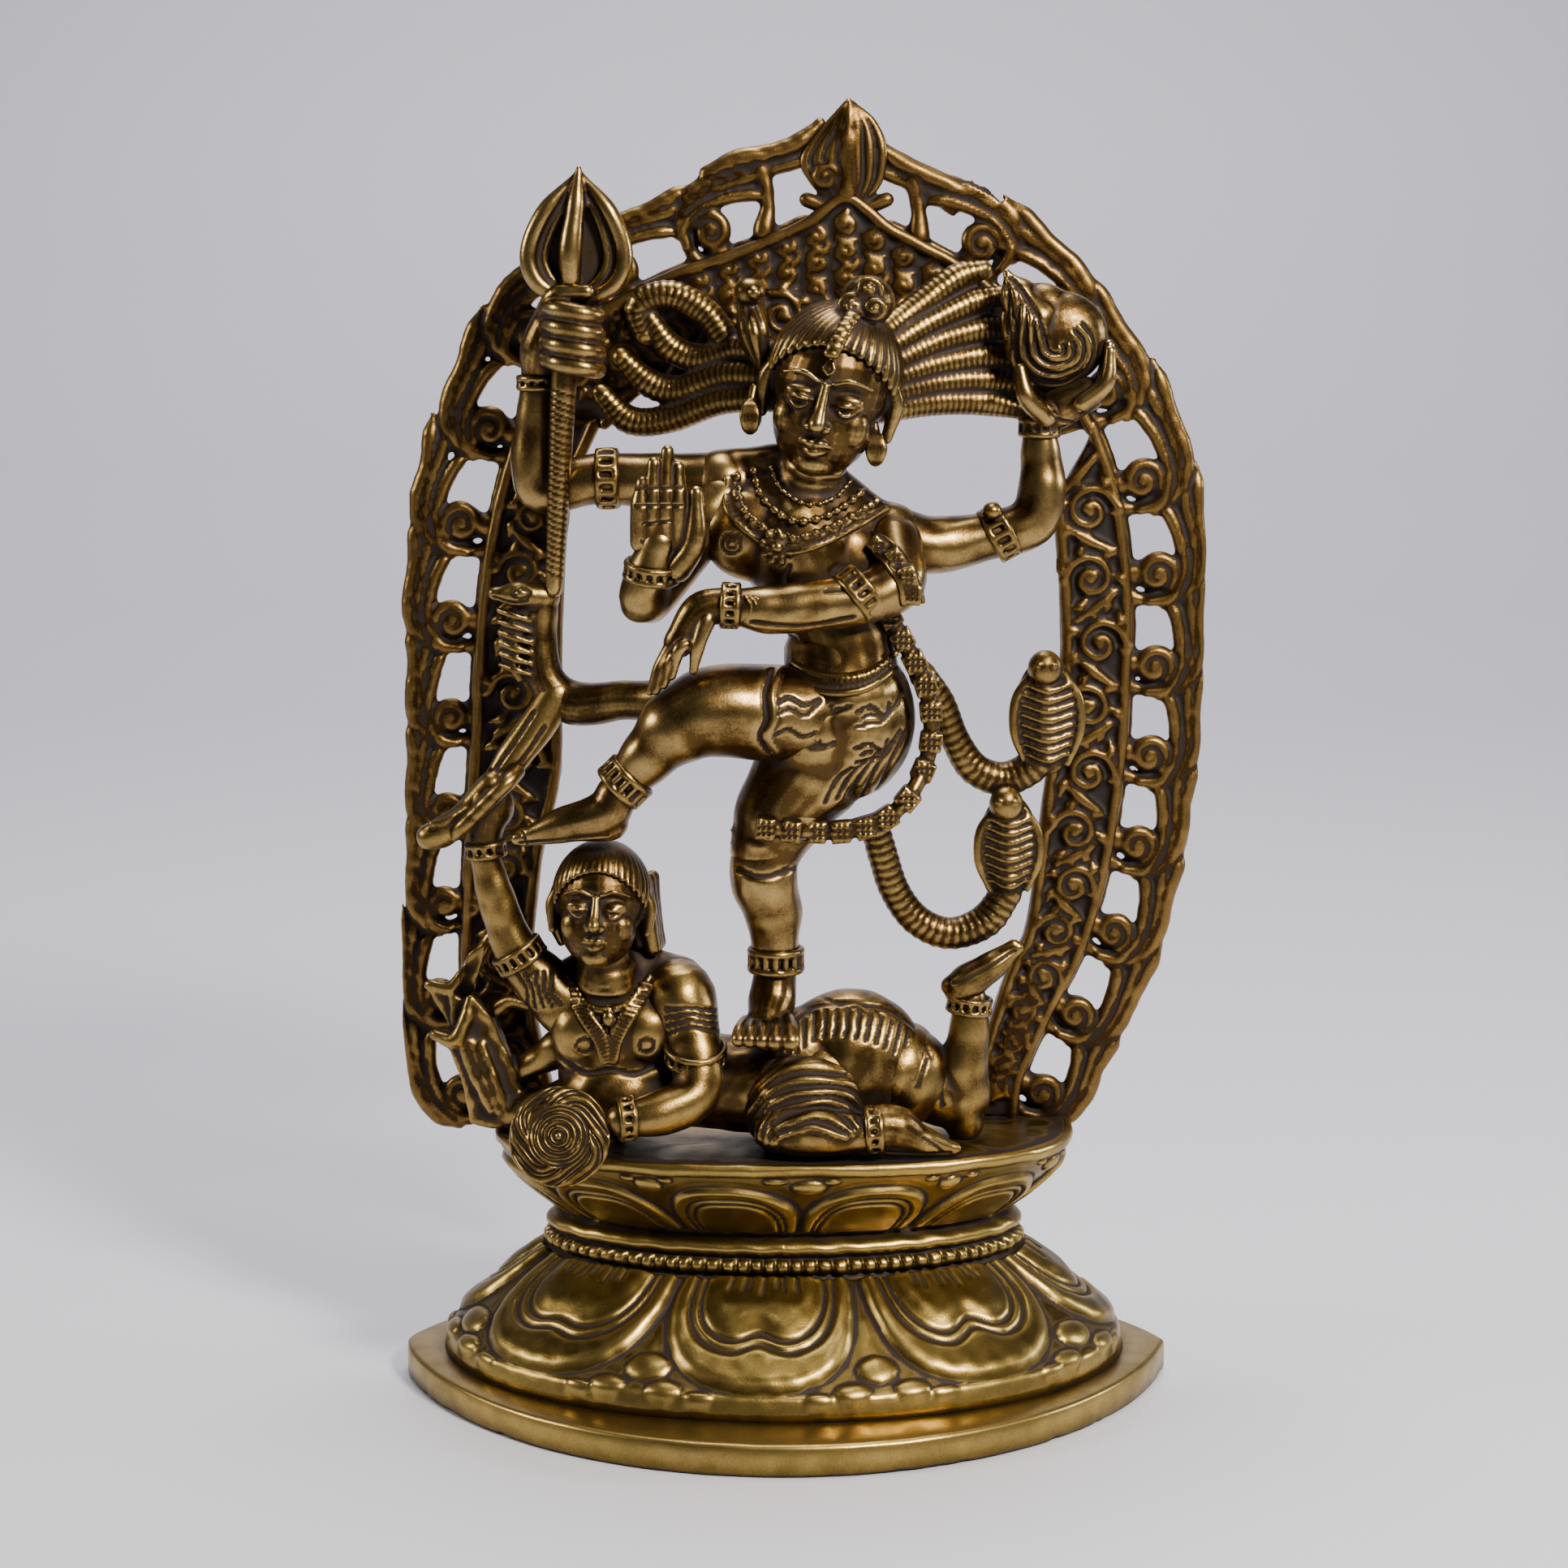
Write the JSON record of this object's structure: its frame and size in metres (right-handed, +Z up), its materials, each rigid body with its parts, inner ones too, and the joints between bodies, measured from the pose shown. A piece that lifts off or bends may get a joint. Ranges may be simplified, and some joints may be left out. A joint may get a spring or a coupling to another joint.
{
  "type": "statue",
  "caption": "Brass statue of a many-armed deity dancing on a fallen demon inside a pierced flaming arch, on a hollow double lotus base with an oval foot plate.",
  "frame": {"origin": "on the table plane, under the middle of the overall box; the foot plate's own middle is 3.2 mm towards -X of it", "axes": "+Z up, the figure faces -Y, +X towards the viewer's right when facing the figure; the arch's plane is parallel to XZ"},
  "size_m": [0.1616, 0.1, 0.254],
  "materials": {
    "brass_base": "cast, filed and polished on the high places, dark in the hollows",
    "brass_figure": "cast and hand polished skin",
    "brass_attribute": "cast, engraved, patina in the grooves",
    "brass_demon": "cast, pitted, partly polished",
    "brass_arch": "cast openwork with dark reddish patina",
    "brass_rivet": "hammered"
  },
  "bodies": {
    "root": {"anklets": "brass_attribute", "arch_band_left": "brass_arch", "arch_band_right": "brass_arch", "arch_finial": "brass_arch", "arch_flames_left": "brass_arch", "arch_flames_right": "brass_arch", "arch_gable": "brass_arch", "arch_rivets": "brass_rivet", "armlets": "brass_attribute", "bracelets": "brass_attribute", "cobra_left": "brass_attribute", "cobra_lower": "brass_attribute", "cobra_upper": "brass_attribute", "demon_bangles": "brass_demon", "demon_bent_arm": "brass_demon", "demon_fist": "brass_demon", "demon_front_foot": "brass_demon", "demon_front_leg": "brass_demon", "demon_hair": "brass_demon", "demon_head": "brass_demon", "demon_hips": "brass_demon", "demon_necklace": "brass_demon", "demon_raised_arm": "brass_demon", "demon_rear_foot": "brass_demon", "demon_rear_leg": "brass_demon", "demon_scarf_ends": "brass_demon", "demon_shield": "brass_demon", "demon_sword": "brass_demon", "demon_torso": "brass_demon", "earrings": "brass_attribute", "figure_rivets": "brass_rivet", "foot_plate": "brass_base", "hair_bun": "brass_figure", "hair_locks_left": "brass_attribute", "hair_locks_right": "brass_attribute", "hair_ornament": "brass_attribute", "head": "brass_figure", "hips_skirt": "brass_figure", "left_back_arm": "brass_figure", "left_back_hand": "brass_figure", "left_front_arm": "brass_figure", "left_front_hand": "brass_figure", "lower_lotus": "brass_base", "necklaces": "brass_attribute", "palm_flame": "brass_attribute", "raised_foot": "brass_figure", "raised_leg": "brass_figure", "right_back_arm": "brass_figure", "right_back_hand": "brass_figure", "right_front_arm": "brass_figure", "right_front_hand": "brass_figure", "skull_garland": "brass_attribute", "standing_foot": "brass_figure", "standing_leg": "brass_figure", "torso": "brass_figure", "trident_head": "brass_attribute", "trident_shaft": "brass_attribute", "upper_lotus": "brass_base", "waist_belt": "brass_attribute", "waist_collar": "brass_base"}
  },
  "joints": []
}
